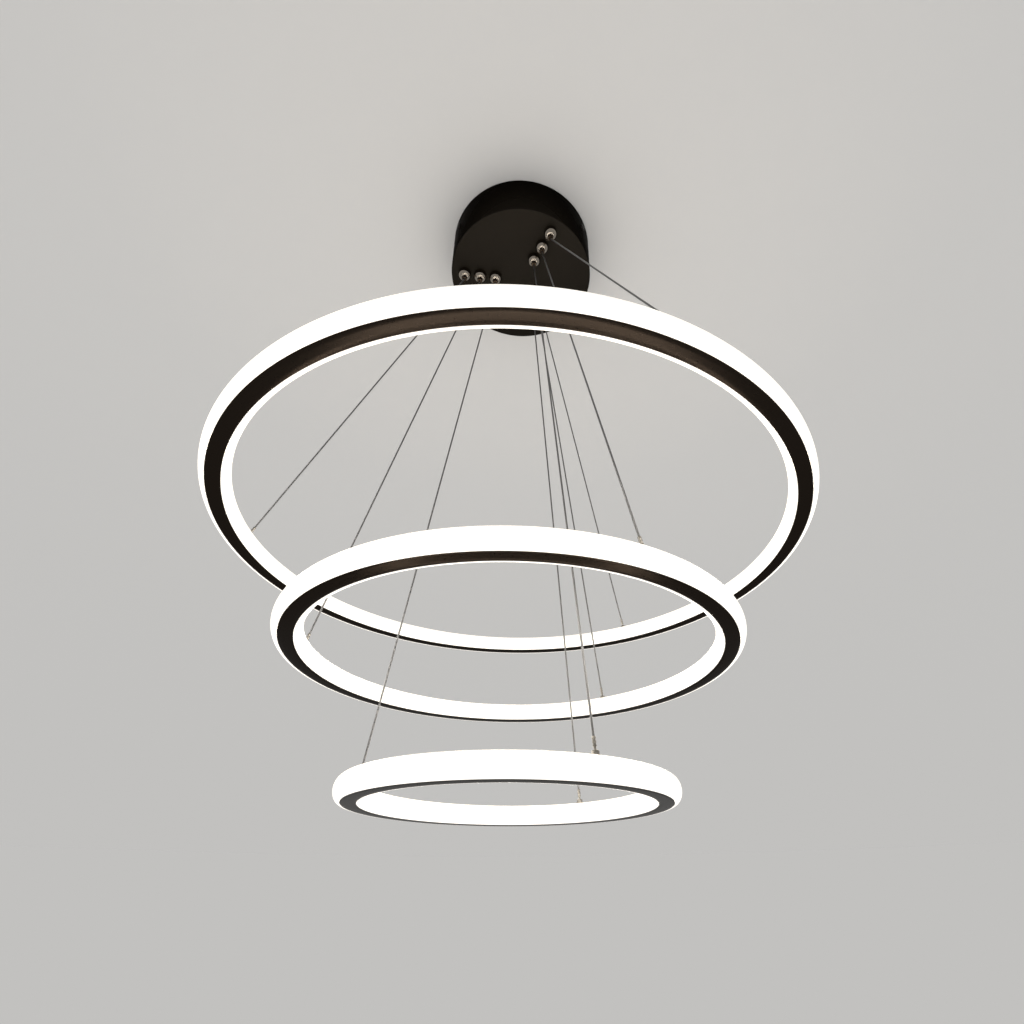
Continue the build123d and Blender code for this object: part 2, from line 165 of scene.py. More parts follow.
# What is seen, mirrored or seen through is the ceiling's grey, and the light itself is white.
seen = add_node(room, "ShaderNodeLightPath")
mirrored = add_node(
    room,
    "ShaderNodeMath",
    operation="MAXIMUM",
    links={0: seen.outputs["Is Camera Ray"], 1: seen.outputs["Is Glossy Ray"]},
)
shown = add_node(
    room,
    "ShaderNodeMath",
    operation="MAXIMUM",
    links={0: mirrored.outputs[0], 1: seen.outputs["Is Transmission Ray"]},
)
backdrop = add_node(
    room, "ShaderNodeBackground", values={"Color": linear(painted_grey), "Strength": 1.0}
)
either = add_node(
    room,
    "ShaderNodeMixShader",
    links={0: shown.outputs[0], 1: light.outputs[0], 2: backdrop.outputs[0]},
)
room.links.new(either.outputs[0], room.nodes["World Output"].inputs["Surface"])


# ---- mounting plate ----
# Punched from 1.5 mm galvanised sheet, with three tabs bent down for the cover's screws. It is
# screwed to the ceiling and everything else hangs from it.
spangle_size = 0.006
darkest_spangle = 0.82
smoothest_spangle = 0.34
roughest_spangle = 0.5


def finish_nodes(material, *names):
    """Gives a piece of the construction its finish."""
    for name in names:
        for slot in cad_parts[name].material_slots:
            slot.material = material


def galvanised_sheet():
    """Hot-dip galvanised steel: flat grey crystals of zinc, each a little lighter or darker."""
    material, tree, shader = new_material("galvanised_sheet")
    place = add_node(tree, "ShaderNodeTexCoord")
    crystal = add_node(
        tree,
        "ShaderNodeTexVoronoi",
        values={"Scale": 1 / spangle_size},
        links={"Vector": place.outputs["Object"]},
    )
    tone = add_node(
        tree,
        "ShaderNodeMapRange",
        values={"To Min": darkest_spangle},
        links={"Value": crystal.outputs["Color"]},
    )
    zinc = add_node(
        tree,
        "ShaderNodeMix",
        data_type="RGBA",
        blend_type="MULTIPLY",
        values={0: 1.0, 6: linear("b4b7ba")},
        links={7: tone.outputs[0]},
    )
    tree.links.new(zinc.outputs[2], shader.inputs["Base Color"])
    rough = add_node(
        tree,
        "ShaderNodeMapRange",
        values={"To Min": smoothest_spangle, "To Max": roughest_spangle},
        links={"Value": crystal.outputs["Color"]},
    )
    tree.links.new(rough.outputs[0], shader.inputs["Roughness"])
    shader.inputs["Metallic"].default_value = 1.0
    return material


finish_nodes(galvanised_sheet(), "mounting_plate")


# ---- driver ----
# A ready-made power supply: a moulded polycarbonate case with its lid screwed up to the plate,
# and inside it a green circuit board on four posts.
mould_grain = 0.0009
mould_grain_depth = 0.00005
plastic_ior = 1.58
smoother_mark = 0.8
rougher_mark = 1.25


def moulded_plastic(name, hex_colour, roughness):
    """A plastic moulded against a spark-eroded tool, which leaves a fine even grain."""
    material, tree, shader = new_material(name)
    place = add_node(tree, "ShaderNodeTexCoord")
    grain = add_node(
        tree,
        "ShaderNodeTexNoise",
        values={"Scale": 1 / mould_grain, "Detail": 3.0},
        links={"Vector": place.outputs["Object"]},
    )
    relief = add_node(
        tree,
        "ShaderNodeBump",
        values={"Strength": 0.25, "Distance": mould_grain_depth},
        links={"Height": grain.outputs[0]},
    )
    tree.links.new(relief.outputs[0], shader.inputs["Normal"])
    shader.inputs["Base Color"].default_value = linear(hex_colour)
    shader.inputs["Roughness"].default_value = roughness
    shader.inputs["IOR"].default_value = plastic_ior
    return material


def tooled_metal(name, hex_colour, roughness, mark_size):
    """Drawn or turned metal, plated or bare: its fine tool marks are smoother and rougher spots."""
    material, tree, shader = new_material(name)
    place = add_node(tree, "ShaderNodeTexCoord")
    marks = add_node(
        tree,
        "ShaderNodeTexNoise",
        values={"Scale": 1 / mark_size, "Detail": 2.0},
        links={"Vector": place.outputs["Object"]},
    )
    rough = add_node(
        tree,
        "ShaderNodeMapRange",
        values={"To Min": roughness * smoother_mark, "To Max": roughness * rougher_mark},
        links={"Value": marks.outputs[0]},
    )
    tree.links.new(rough.outputs[0], shader.inputs["Roughness"])
    shader.inputs["Base Color"].default_value = linear(hex_colour)
    shader.inputs["Metallic"].default_value = 1.0
    return material


polycarbonate = moulded_plastic("moulded_polycarbonate", "dcdcd8", roughness=0.5)
finish_nodes(polycarbonate, "driver_case", "driver_lid")
# The board's lacquer has much the same fine relief, from the glass cloth below it.
finish_nodes(moulded_plastic("green_solder_mask", "2b6b3a", roughness=0.35), "driver_board")
zinc_plate = tooled_metal("zinc_plated_steel", "b9b8b2", roughness=0.32, mark_size=0.0006)
finish_nodes(zinc_plate, "driver_screws")


# ---- terminal block, earth screw and leads ----
# The mains cable ends in a nylon block with three clamping screws, and the earth wire under a
# brass screw. Short insulated leads go on to the driver and from it to the live wires.
def insulated_lead(name, left_hex, right_hex):
    """Flexible PVC insulation, in one colour to the left of the middle and another to its right."""
    material, tree, shader = new_material(name)
    place = add_node(tree, "ShaderNodeTexCoord")
    parts = add_node(tree, "ShaderNodeSeparateXYZ", links={0: place.outputs["Object"]})
    to_right = add_node(
        tree,
        "ShaderNodeMath",
        operation="GREATER_THAN",
        values={1: 0.0},
        links={0: parts.outputs["X"]},
    )
    colour = add_node(
        tree,
        "ShaderNodeMix",
        data_type="RGBA",
        values={6: linear(left_hex), 7: linear(right_hex)},
        links={0: to_right.outputs[0]},
    )
    tree.links.new(colour.outputs[2], shader.inputs["Base Color"])
    shader.inputs["Roughness"].default_value = 0.45
    shader.inputs["IOR"].default_value = 1.53
    return material


finish_nodes(moulded_plastic("natural_nylon", "e6e2d4", roughness=0.42), "terminal_block")
finish_nodes(zinc_plate, "terminal_screws")
turned_brass = tooled_metal("turned_brass", "c9a557", roughness=0.28, mark_size=0.0005)
finish_nodes(turned_brass, "earth_screw")
finish_nodes(insulated_lead("mains_insulation", "2f5f9e", "6b4226"), "mains_leads")
finish_nodes(insulated_lead("output_insulation", "1c1b1a", "9c2a24"), "output_leads")


# ---- canopy cover ----
# A round drum pressed from 1.2 mm steel, open to the ceiling and punched for the nine grips. It
# is powder coated satin black, which dries to a slight orange peel.
drum_low, drum_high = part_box("canopy_cover")
canopy_radius = 0.0654
canopy_wall = 0.0012
canopy_edge_radius = 0.0007
rim_rounding = 0.0002
drum_sides = 224
grip_neck_radius = 0.004
grip_hole_radius = 0.00415
grip_hole_sides = 48
grip_azimuths = {"left": 187.5, "front": 301.5, "back": 64.5}
grip_radii = {"large": 0.053, "middle": 0.0386, "small": 0.0242}
cover_screw_azimuths = (-29.0, 91.0, 211.0)
cover_screw_drop = 0.0153
cover_screw_hole_radius = 0.0016
cover_screw_hole_sides = 32
punch_depth = 4 * canopy_wall
orange_peel = 0.0022
orange_peel_depth = 0.00006
smoother_peel = 0.9
rougher_peel = 1.12
nearly = 0.9  # how much of the way counts as level, or as at an end


def around(azimuth, radius, z):
    """The point at an azimuth in degrees and a radius from the middle, at height z."""
    return Vector((radius * cos(radians(azimuth)), radius * sin(radians(azimuth)), z))


def only(piece):
    """Makes a piece the selected and active one."""
    bpy.ops.object.select_all(action="DESELECT")
    piece.select_set(True)
    bpy.context.view_layer.objects.active = piece


def pick_end(piece, way):
    """In edit mode, selects the level faces that look up (1) or down (-1)."""
    bpy.ops.mesh.select_mode(type="FACE")
    bpy.ops.mesh.select_all(action="DESELECT")
    bpy.ops.object.mode_set(mode="OBJECT")
    for face in piece.data.polygons:
        face.select = way * face.normal.z > nearly
    bpy.ops.object.mode_set(mode="EDIT")


def step_end(piece, way, inset, rise):
    """In edit mode, insets the upper (1) or lower (-1) end of a piece and extrudes it by a rise."""
    pick_end(piece, way)
    bpy.ops.mesh.inset(thickness=inset)
    bpy.ops.mesh.extrude_region_move(TRANSFORM_OT_translate={"value": (0, 0, rise)})


def pick_edges(piece, wanted):
    """In edit mode, selects the edges for which wanted(one end, other end) holds."""
    bpy.ops.mesh.select_mode(type="EDGE")
    bpy.ops.mesh.select_all(action="DESELECT")
    bpy.ops.object.mode_set(mode="OBJECT")
    points = piece.data.vertices
    for edge in piece.data.edges:
        first, second = (points[place].co for place in edge.vertices)
        edge.select = bool(wanted(first, second))
    bpy.ops.object.mode_set(mode="EDIT")


def settle(piece, smooth_below=30):
    """Leaves edit mode, puts the piece's place into its mesh, and smooths its gentle edges."""
    only(piece)
    if piece.mode == "EDIT":
        bpy.ops.object.mode_set(mode="OBJECT")
    bpy.ops.object.transform_apply(location=True, rotation=True, scale=True)
    bpy.ops.object.shade_smooth_by_angle(angle=radians(smooth_below))


def cut_with(piece, cutter):
    """Cuts one closed shape out of another."""
    only(piece)
    cut = piece.modifiers.new("cut", "BOOLEAN")
    cut.object = cutter
    cut.solver = "EXACT"
    bpy.ops.object.modifier_apply(modifier=cut.name)
    bpy.data.objects.remove(cutter)


def join(pieces):
    """Joins pieces into the first of them."""
    only(pieces[0])
    for piece in pieces:
        piece.select_set(True)
    bpy.ops.object.join()
    return bpy.context.object


def fit(piece, name, material, body, slot, *nodes):
    """Names a finished piece, gives it its finish, fixes it to its body, and hides its nodes."""
    piece.name = name
    piece.data.name = name
    piece.data.materials.clear()
    piece.data.materials.append(material)
    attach(piece, body)
    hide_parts(*nodes)
    return piece


def satin_black(name, hex_colour, edge_hex, roughness, relief_size, relief_depth):
    """A thin black coat on metal: it mirrors a little, and not more at its edges; its brown tint is
    painted warm sheen.
    """
    material, tree, shader = new_material(name)
    place = add_node(tree, "ShaderNodeTexCoord")
    peel = add_node(
        tree,
        "ShaderNodeTexNoise",
        values={"Scale": 1 / relief_size, "Detail": 3.0, "Roughness": 0.55},
        links={"Vector": place.outputs["Object"]},
    )
    relief = add_node(
        tree,
        "ShaderNodeBump",
        values={"Strength": 0.3, "Distance": relief_depth},
        links={"Height": peel.outputs[0]},
    )
    rough = add_node(
        tree,
        "ShaderNodeMapRange",
        values={"To Min": roughness * smoother_peel, "To Max": roughness * rougher_peel},
        links={"Value": peel.outputs[0]},
    )
    tree.links.new(relief.outputs[0], shader.inputs["Normal"])
    tree.links.new(rough.outputs[0], shader.inputs["Roughness"])
    shader.inputs["Base Color"].default_value = linear(hex_colour)
    shader.inputs["Specular Tint"].default_value = linear(edge_hex)
    shader.inputs["Metallic"].default_value = 1.0
    return material


drum = fresh(
    bpy.ops.mesh.primitive_cylinder_add,
    vertices=drum_sides,
    radius=canopy_radius,
    depth=drum_high.z - drum_low.z,
    location=(0, 0, (drum_high.z + drum_low.z) / 2),
)
bpy.ops.object.transform_apply(location=True)
bpy.ops.object.mode_set(mode="EDIT")
pick_edges(drum, lambda a, b: max(a.z, b.z) < drum_low.z + canopy_wall)
bpy.ops.mesh.bevel(offset=canopy_edge_radius, segments=4, affect="EDGES")
step_end(drum, 1, inset=canopy_wall, rise=drum_low.z + canopy_wall - drum_high.z)
pick_edges(drum, lambda a, b: min(a.z, b.z) > drum_high.z - rim_rounding)
bpy.ops.mesh.bevel(offset=rim_rounding, segments=2, affect="EDGES")
bpy.ops.object.mode_set(mode="OBJECT")
punches = []
for azimuth in grip_azimuths.values():
    for radius in grip_radii.values():
        punches.append(
            fresh(
                bpy.ops.mesh.primitive_cylinder_add,
                vertices=grip_hole_sides,
                radius=grip_hole_radius,
                depth=punch_depth,
                location=around(azimuth, radius, drum_low.z),
            )
        )
for azimuth in cover_screw_azimuths:
    punches.append(
        fresh(
            bpy.ops.mesh.primitive_cylinder_add,
            vertices=cover_screw_hole_sides,
            radius=cover_screw_hole_radius,
            depth=punch_depth,
            location=around(azimuth, canopy_radius, -cover_screw_drop),
            rotation=(pi / 2, 0, radians(azimuth + 90)),
        )
    )
cut_with(drum, join(punches))
settle(drum)
# The coat's brown tint is painted warm sheen from the rings' light.
powder_coat = satin_black(
    "satin_black_powder_coat",
    "272420",
    edge_hex="959595",
    roughness=0.48,
    relief_size=orange_peel,
    relief_depth=orange_peel_depth,
)
fit(drum, "canopy_cover_drum", powder_coat, "canopy", "black_powder_coat", "canopy_cover")


# ---- cover screws ----
# Three blackened steel screws with a button head and a hex socket. They go through the drum's
# wall into the plate's tabs.
screw_head_radius = 0.0027
screw_head_height = 0.0015
screw_head_rounding = 0.00075
screw_shank_radius = 0.0015
screw_shank_length = 0.006
socket_radius = 0.0011
socket_depth = 0.0008
screw_sides = 48
socket_sides = 6


def cover_screw():
    """A screw that stands on the origin, with its head up."""
    head = fresh(
        bpy.ops.mesh.primitive_cylinder_add,
        vertices=screw_sides,
        radius=screw_head_radius,
        depth=screw_head_height,
        location=(0, 0, screw_head_height / 2),
    )
    bpy.ops.object.transform_apply(location=True)
    bpy.ops.object.mode_set(mode="EDIT")
    pick_edges(head, lambda a, b: min(a.z, b.z) > screw_head_height * nearly)
    bpy.ops.mesh.bevel(offset=screw_head_rounding, segments=5, affect="EDGES")
    step_end(head, -1, inset=screw_head_radius - screw_shank_radius, rise=-screw_shank_length)
    bpy.ops.object.mode_set(mode="OBJECT")
    socket = fresh(
        bpy.ops.mesh.primitive_cylinder_add,
        vertices=socket_sides,
        radius=socket_radius,
        depth=2 * socket_depth,
        location=(0, 0, screw_head_height),
    )
    cut_with(head, socket)
    return head


def copy_at(original, placement):
    """A copy of a piece, with its own mesh, put where a matrix says."""
    copy = original.copy()
    copy.data = original.data.copy()
    bpy.context.collection.objects.link(copy)
    copy.matrix_world = placement
    settle(copy)
    return copy


blackened_steel = tooled_metal("blackened_steel", "2a2826", roughness=0.38, mark_size=0.0005)
first_screw = cover_screw()
for number, azimuth in enumerate(cover_screw_azimuths):
    outward = around(azimuth, 1, 0).to_track_quat("Z", "X").to_matrix().to_4x4()
    place = Matrix.Translation(around(azimuth, canopy_radius, -cover_screw_drop))
    screw = copy_at(first_screw, place @ outward)
    fit(screw, f"cover_screw_{number + 1}", blackened_steel, "canopy", "black_screw", "cover_screws")
bpy.data.objects.remove(first_screw)


# ---- cable grips ----
# Nine turned brass bodies, polished and chromed. Each domed head lies against the canopy's face,
# its threaded neck goes up through it, and a locknut and an end cap close it above.
face_z = drum_low.z
face_top_z = face_z + canopy_wall
dome_radius = 0.0058
dome_height = 0.007
dome_rounding = 0.0042
neck_height = 0.011
bore_radius = 0.0026
bore_turn = radians(0.94)  # so that none of its edges meets one of the dome's
chamber_radius = 0.0032
seat_depth = 0.001
seat_height = 0.004
cap_spigot = 0.0014
dome_sides = 96
dome_steps = 14
bore_sides = 64
buffing_haze = 0.004
clearest_chrome = 0.06
haziest_chrome = 0.14
neck_top_z = face_top_z + neck_height
seat_top_z = face_z - seat_depth + seat_height
chamber_top_z = neck_top_z - cap_spigot


def grip_housing():
    """A domed head and a threaded neck round an open bore, about the Z axis."""
    body = fresh(
        bpy.ops.mesh.primitive_cylinder_add,
        vertices=dome_sides,
        radius=dome_radius,
        depth=dome_height,
        location=(0, 0, face_z - dome_height / 2),
    )
    bpy.ops.object.transform_apply(location=True)
    bpy.ops.object.mode_set(mode="EDIT")
    pick_edges(body, lambda a, b: max(a.z, b.z) < face_z - dome_height * nearly)
    bpy.ops.mesh.bevel(offset=dome_rounding, segments=dome_steps, affect="EDGES")
    step_end(body, 1, inset=dome_radius - grip_neck_radius, rise=neck_top_z - face_z)
    bpy.ops.object.mode_set(mode="OBJECT")
    bore = fresh(
        bpy.ops.mesh.primitive_cylinder_add,
        vertices=bore_sides,
        radius=bore_radius,
        depth=2 * dome_height,
        location=(0, 0, seat_top_z - seat_height - dome_height),
        rotation=(0, 0, bore_turn),
    )
    bpy.ops.object.transform_apply(location=True, rotation=True)
    bpy.ops.object.mode_set(mode="EDIT")
    pick_end(bore, 1)
    bpy.ops.mesh.extrude_region_move(TRANSFORM_OT_translate={"value": (0, 0, seat_height)})
    widening = chamber_radius / bore_radius
    bpy.ops.transform.resize(value=(widening, widening, 1))
    bpy.ops.mesh.extrude_region_move(TRANSFORM_OT_translate={"value": (0, 0, neck_height)})
    bpy.ops.object.mode_set(mode="OBJECT")
    cut_with(body, bore)
    return body


def chrome(name, hex_colour):
    """Polished brass with chrome plate: a mirror with faint buffing haze."""
    material, tree, shader = new_material(name)
    place = add_node(tree, "ShaderNodeTexCoord")
    haze = add_node(
        tree,
        "ShaderNodeTexNoise",
        values={"Scale": 1 / buffing_haze, "Detail": 4.0},
        links={"Vector": place.outputs["Object"]},
    )
    rough = add_node(
        tree,
        "ShaderNodeMapRange",
        values={"To Min": clearest_chrome, "To Max": haziest_chrome},
        links={"Value": haze.outputs[0]},
    )
    tree.links.new(rough.outputs[0], shader.inputs["Roughness"])
    shader.inputs["Base Color"].default_value = linear(hex_colour)
    shader.inputs["Metallic"].default_value = 1.0
    return material


# Both chrome colours are painted reflection: darker and browner than chrome, so that the domes and
# plungers mirror a dim, warm room rather than the pale even backdrop. The plungers' is darker.
painted_dark_chrome = chrome("painted_dark_chrome_plate", "968e84")
painted_darker_chrome = chrome("painted_darker_chrome_plate", "40352b")
first_housing = grip_housing()
for size, radius in grip_radii.items():
    for line, azimuth in grip_azimuths.items():
        housing = copy_at(first_housing, Matrix.Translation(around(azimuth, radius, 0)))
        fit(
            housing,
            f"grip_housing_{size}_{line}",
            painted_dark_chrome,
            "canopy",
            "polished_chrome",
            "grip_housings",
        )
bpy.data.objects.remove(first_housing)

nickel_plate = tooled_metal("nickel_plated_brass", "8f8b84", roughness=0.34, mark_size=0.0004)
finish_nodes(nickel_plate, "grip_locknuts", "grip_caps")


# ---- release plungers and springs ----
# Pressing a plunger up lets the balls inside it free the wire, and a small coil spring above it
# pushes it back down.
plunger_travel = 0.0015
plunger_pressed_reach = 0.0011
mouth_z = face_z - dome_height - plunger_travel - plunger_pressed_reach
collet_height = 0.0024
collet_top_z = seat_top_z + collet_height
spring_length = chamber_top_z - collet_top_z
spring_radius = 0.00265
spring_wire = 0.00024
spring_wire_sides = 8
spring_turns = 5
spring_steps = 20

# The plungers take the darker chrome, whose colour is painted dark reflection.
for size in grip_radii:
    for line in grip_azimuths:
        finish_nodes(painted_darker_chrome, f"release_plunger_{size}_{line}")

spring_steel = tooled_metal("bright_spring_steel", "9a9894", roughness=0.3, mark_size=0.0003)


def coil_spring():
    """Round wire wound about the Z axis, from the collet up to the cap."""
    section = fresh(
        bpy.ops.mesh.primitive_circle_add,
        vertices=spring_wire_sides,
        radius=spring_wire,
        location=(spring_radius, 0, collet_top_z + spring_wire),
        rotation=(pi / 2, 0, 0),
    )
    bpy.ops.object.transform_apply(location=True, rotation=True)
    winding = section.modifiers.new("winding", "SCREW")
    winding.axis = "Z"
    winding.angle = 2 * pi * spring_turns
    winding.screw_offset = spring_length - 2 * spring_wire
    winding.steps = winding.render_steps = spring_turns * spring_steps
    winding.use_merge_vertices = True
    bpy.ops.object.modifier_apply(modifier=winding.name)
    bpy.ops.object.mode_set(mode="EDIT")
    bpy.ops.mesh.select_all(action="SELECT")
    bpy.ops.mesh.fill_holes(sides=0)
    bpy.ops.mesh.select_all(action="SELECT")
    bpy.ops.mesh.normals_make_consistent(inside=False)
    bpy.ops.object.mode_set(mode="OBJECT")
    return section


first_spring = coil_spring()
for size, radius in grip_radii.items():
    for line, azimuth in grip_azimuths.items():
        spring = copy_at(first_spring, Matrix.Translation(around(azimuth, radius, 0)))
        fit(
            spring,
            f"coil_spring_{size}_{line}",
            spring_steel,
            "canopy",
            "spring_steel",
            f"return_spring_{size}_{line}",
        )
        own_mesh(spring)
bpy.data.objects.remove(first_spring)


# ---- rings ----
# Three level rings, each rolled from one satin black aluminium channel, with its ends butted. Their
# sizes are the black band's outer radius and how far a ring hangs below the ceiling.
band_radii = {"large": 0.196, "middle": 0.1397, "small": 0.0924}
ring_drops = {"large": 0.346, "middle": 0.4302, "small": 0.5163}
band_width = 0.0088
profile_height = 0.0124
flange_thickness = 0.0014
web_thickness = 0.003
flange_rounding = 0.00025
ring_steps = {"large": 320, "middle": 256, "small": 192}
coat_relief = 0.0016
coat_relief_depth = 0.00003
seam = 0.000002  # points nearer to each other than this are one
touching = 0.00001  # a point nearer to a plane than this lies on it


def band_middle(size):
    """The radius of the middle of a ring's black band."""
    return band_radii[size] - band_width / 2


def spin_round(steps):
    """In edit mode, turns a flat shape's outline once round the Z axis, and closes the surface."""
    bpy.ops.mesh.select_mode(type="FACE")
    bpy.ops.mesh.select_all(action="SELECT")
    bpy.ops.mesh.region_to_loop()
    bpy.ops.mesh.select_all(action="INVERT")
    bpy.ops.mesh.delete(type="EDGE_FACE")
    bpy.ops.mesh.select_all(action="SELECT")
    bpy.ops.mesh.delete(type="ONLY_FACE")
    bpy.ops.mesh.select_all(action="SELECT")
    bpy.ops.mesh.spin(
        steps=steps, angle=2 * pi, use_auto_merge=True, center=(0, 0, 0), axis=(0, 0, 1)
    )
    bpy.ops.mesh.select_all(action="SELECT")
    bpy.ops.mesh.remove_doubles(threshold=seam)
    bpy.ops.mesh.normals_make_consistent(inside=False)
    bpy.ops.object.mode_set(mode="OBJECT")


def round_sharp_edges(piece, radius, segments):
    """Rounds the edges of a finished shape that are nearly square."""
    only(piece)
    rounding = piece.modifiers.new("rounding", "BEVEL")
    rounding.width = radius
    rounding.segments = segments
    rounding.angle_limit = radians(60)
    bpy.ops.object.modifier_apply(modifier=rounding.name)


def ring_frame(size):
    """The channel's outline, web and two flanges, spun into a ring."""
    middle_r = band_middle(size)
    middle_z = -ring_drops[size] + profile_height / 2
    channel = fresh(
        bpy.ops.mesh.primitive_plane_add,
        size=1,
        location=(middle_r, 0, middle_z),
        rotation=(pi / 2, 0, 0),
    )
    channel.scale = (web_thickness, profile_height, 1)
    bpy.ops.object.transform_apply(location=True, rotation=True, scale=True)
    bpy.ops.object.mode_set(mode="EDIT")
    flange_inside = profile_height / 2 - flange_thickness
    for level in (middle_z + flange_inside, middle_z - flange_inside):
        bpy.ops.mesh.select_all(action="SELECT")
        bpy.ops.mesh.bisect(plane_co=(0, 0, level), plane_no=(0, 0, 1))
    reach = (band_width - web_thickness) / 2
    for way in (1, -1):
        side_r = middle_r + way * web_thickness / 2
        pick_edges(
            channel,
            lambda a, b: max(abs(a.x - side_r), abs(b.x - side_r)) < touching
            and abs((a.z + b.z) / 2 - middle_z) > flange_inside,
        )
        bpy.ops.mesh.extrude_edges_move(TRANSFORM_OT_translate={"value": (way * reach, 0, 0)})
    spin_round(ring_steps[size])
    round_sharp_edges(channel, flange_rounding, segments=2)
    settle(channel)
    return channel


# The channel's brown tint is painted warm sheen from the rings' light.
black_aluminium = satin_black(
    "satin_black_aluminium",
    "28221d",
    edge_hex="bcbcbc",
    roughness=0.28,
    relief_size=coat_relief,
    relief_depth=coat_relief_depth,
)
for size in band_radii:
    fit(
        ring_frame(size),
        f"{size}_ring_channel",
        black_aluminium,
        f"{size}_ring",
        "black_aluminium",
        f"{size}_ring_frame",
    )


# ---- light strips ----
# Flexible white tape with a line of light-emitting chips under yellow phosphor, stuck to each side
# of the channel's web.
tape_mottle = 0.0012


def light_tape():
    """White tape, mottled with the warm yellow of the phosphor on its chips."""
    material, tree, shader = new_material("white_light_tape")
    place = add_node(tree, "ShaderNodeTexCoord")
    mottle = add_node(
        tree,
        "ShaderNodeTexNoise",
        values={"Scale": 1 / tape_mottle, "Detail": 2.0},
        links={"Vector": place.outputs["Object"]},
    )
    colour = add_node(
        tree,
        "ShaderNodeMix",
        data_type="RGBA",
        values={6: linear("f2eedd"), 7: linear("efd27a")},
        links={0: mottle.outputs[0]},
    )
    tree.links.new(colour.outputs[2], shader.inputs["Base Color"])
    shader.inputs["Roughness"].default_value = 0.4
    return material


tape = light_tape()
for size in band_radii:
    finish_nodes(tape, f"{size}_ring_outer_led_strip", f"{size}_ring_inner_led_strip")


# ---- diffusers ----
# Milky extruded silicone, 1.2 mm thick, with a half oval outside. One clips into each side of the
# channel and hides the chips, so that it glows evenly all over.
diffuser_clearance = 0.0001
diffuser_bulge = 0.0042
diffuser_wall = 0.0012
diffuser_leg = 0.0015
diffuser_leg_thickness = 0.001
oval_points = 48
# A lamp's true glare is far past white, so the glow has one strength for the eye and one for the
# light that it gives. Mirrors get a third and stronger one, which is a painted reflection: it
# shows the rings brighter in metal and in the black coat than the light that they give.
glow_seen = 0.55
glow_given = 5.5
painted_reflection_glow = 10.0


def milky_silicone():
    """Lit from inside: evenly white to the eye, warm in the light that it gives, and in mirrors
    white with a painted, stronger glow.
    """
    material, tree, shader = new_material("milky_silicone_lit")
    shader.inputs["Base Color"].default_value = linear("f4f1ea")
    shader.inputs["Roughness"].default_value = 0.38
    shader.inputs["IOR"].default_value = 1.41
    ray = add_node(tree, "ShaderNodeLightPath")
    # Glossy rays see a stronger glow than the light that is given: a painted reflection of the
    # rings.
    given_or_painted_reflection_glow = add_node(
        tree,
        "ShaderNodeMapRange",
        values={"To Min": glow_given, "To Max": painted_reflection_glow},
        links={"Value": ray.outputs["Is Glossy Ray"]},
    )
    glow = add_node(
        tree,
        "ShaderNodeMapRange",
        values={"To Max": glow_seen},
        links={"Value": ray.outputs["Is Camera Ray"], "To Min": given_or_painted_reflection_glow.outputs[0]},
    )
    looked_at = add_node(
        tree,
        "ShaderNodeMath",
        operation="MAXIMUM",
        links={0: ray.outputs["Is Camera Ray"], 1: ray.outputs["Is Glossy Ray"]},
    )
    tint = add_node(
        tree,
        "ShaderNodeMix",
        data_type="RGBA",
        values={6: linear("fff0dd"), 7: linear("fff8ee")},
        links={0: looked_at.outputs[0]},
    )
    tree.links.new(tint.outputs[2], shader.inputs["Emission Color"])
    tree.links.new(glow.outputs[0], shader.inputs["Emission Strength"])
    return material


def diffuser(size, way):
    """Half an oval wall beside the channel, with a leg behind each flange, spun into a ring."""
    middle_z = -ring_drops[size] + profile_height / 2
    edge_r = band_middle(size) + way * (band_width / 2 + diffuser_clearance)
    inner_height = profile_height / 2 - flange_thickness - diffuser_leg_thickness
    outside = (diffuser_bulge, profile_height / 2, 1)
    inside = (diffuser_bulge - diffuser_wall, inner_height, 1)
    ovals = []
    for half_sizes in (outside, inside):
        oval = fresh(
            bpy.ops.mesh.primitive_circle_add,
            vertices=oval_points,
            radius=1,
            fill_type="NOTHING",
            location=(edge_r, 0, middle_z),
            rotation=(pi / 2, 0, 0),
        )
        oval.scale = half_sizes
        bpy.ops.object.transform_apply(location=True, rotation=True, scale=True)
        ovals.append(oval)
    skin = join(ovals)
    bpy.ops.object.mode_set(mode="EDIT")
    bpy.ops.mesh.select_all(action="SELECT")
    bpy.ops.mesh.bisect(plane_co=(edge_r, 0, middle_z), plane_no=(way, 0, 0), clear_inner=True)
    bpy.ops.mesh.select_all(action="SELECT")
    bpy.ops.mesh.bridge_edge_loops()
    leg_top = inner_height + diffuser_leg_thickness
    for level in (middle_z + leg_top, middle_z - leg_top):
        bpy.ops.mesh.select_all(action="SELECT")
        bpy.ops.mesh.bisect(plane_co=(0, 0, level), plane_no=(0, 0, 1))
    pick_edges(
        skin,
        lambda a, b: max(abs(a.x - edge_r), abs(b.x - edge_r)) < touching
        and abs((a.z + b.z) / 2 - middle_z) < leg_top,
    )
    bpy.ops.mesh.extrude_edges_move(
        TRANSFORM_OT_translate={"value": (-way * diffuser_leg, 0, 0)}
    )
    spin_round(ring_steps[size])
    settle(skin, smooth_below=60)
    return skin


milky = milky_silicone()
for size in band_radii:
    for place, way in (("outer", 1), ("inner", -1)):
        fit(
            diffuser(size, way),
            f"{size}_ring_{place}_cover",
            milky,
            f"{size}_ring",
            "milky_diffuser",
            f"{size}_ring_{place}_diffuser",
        )


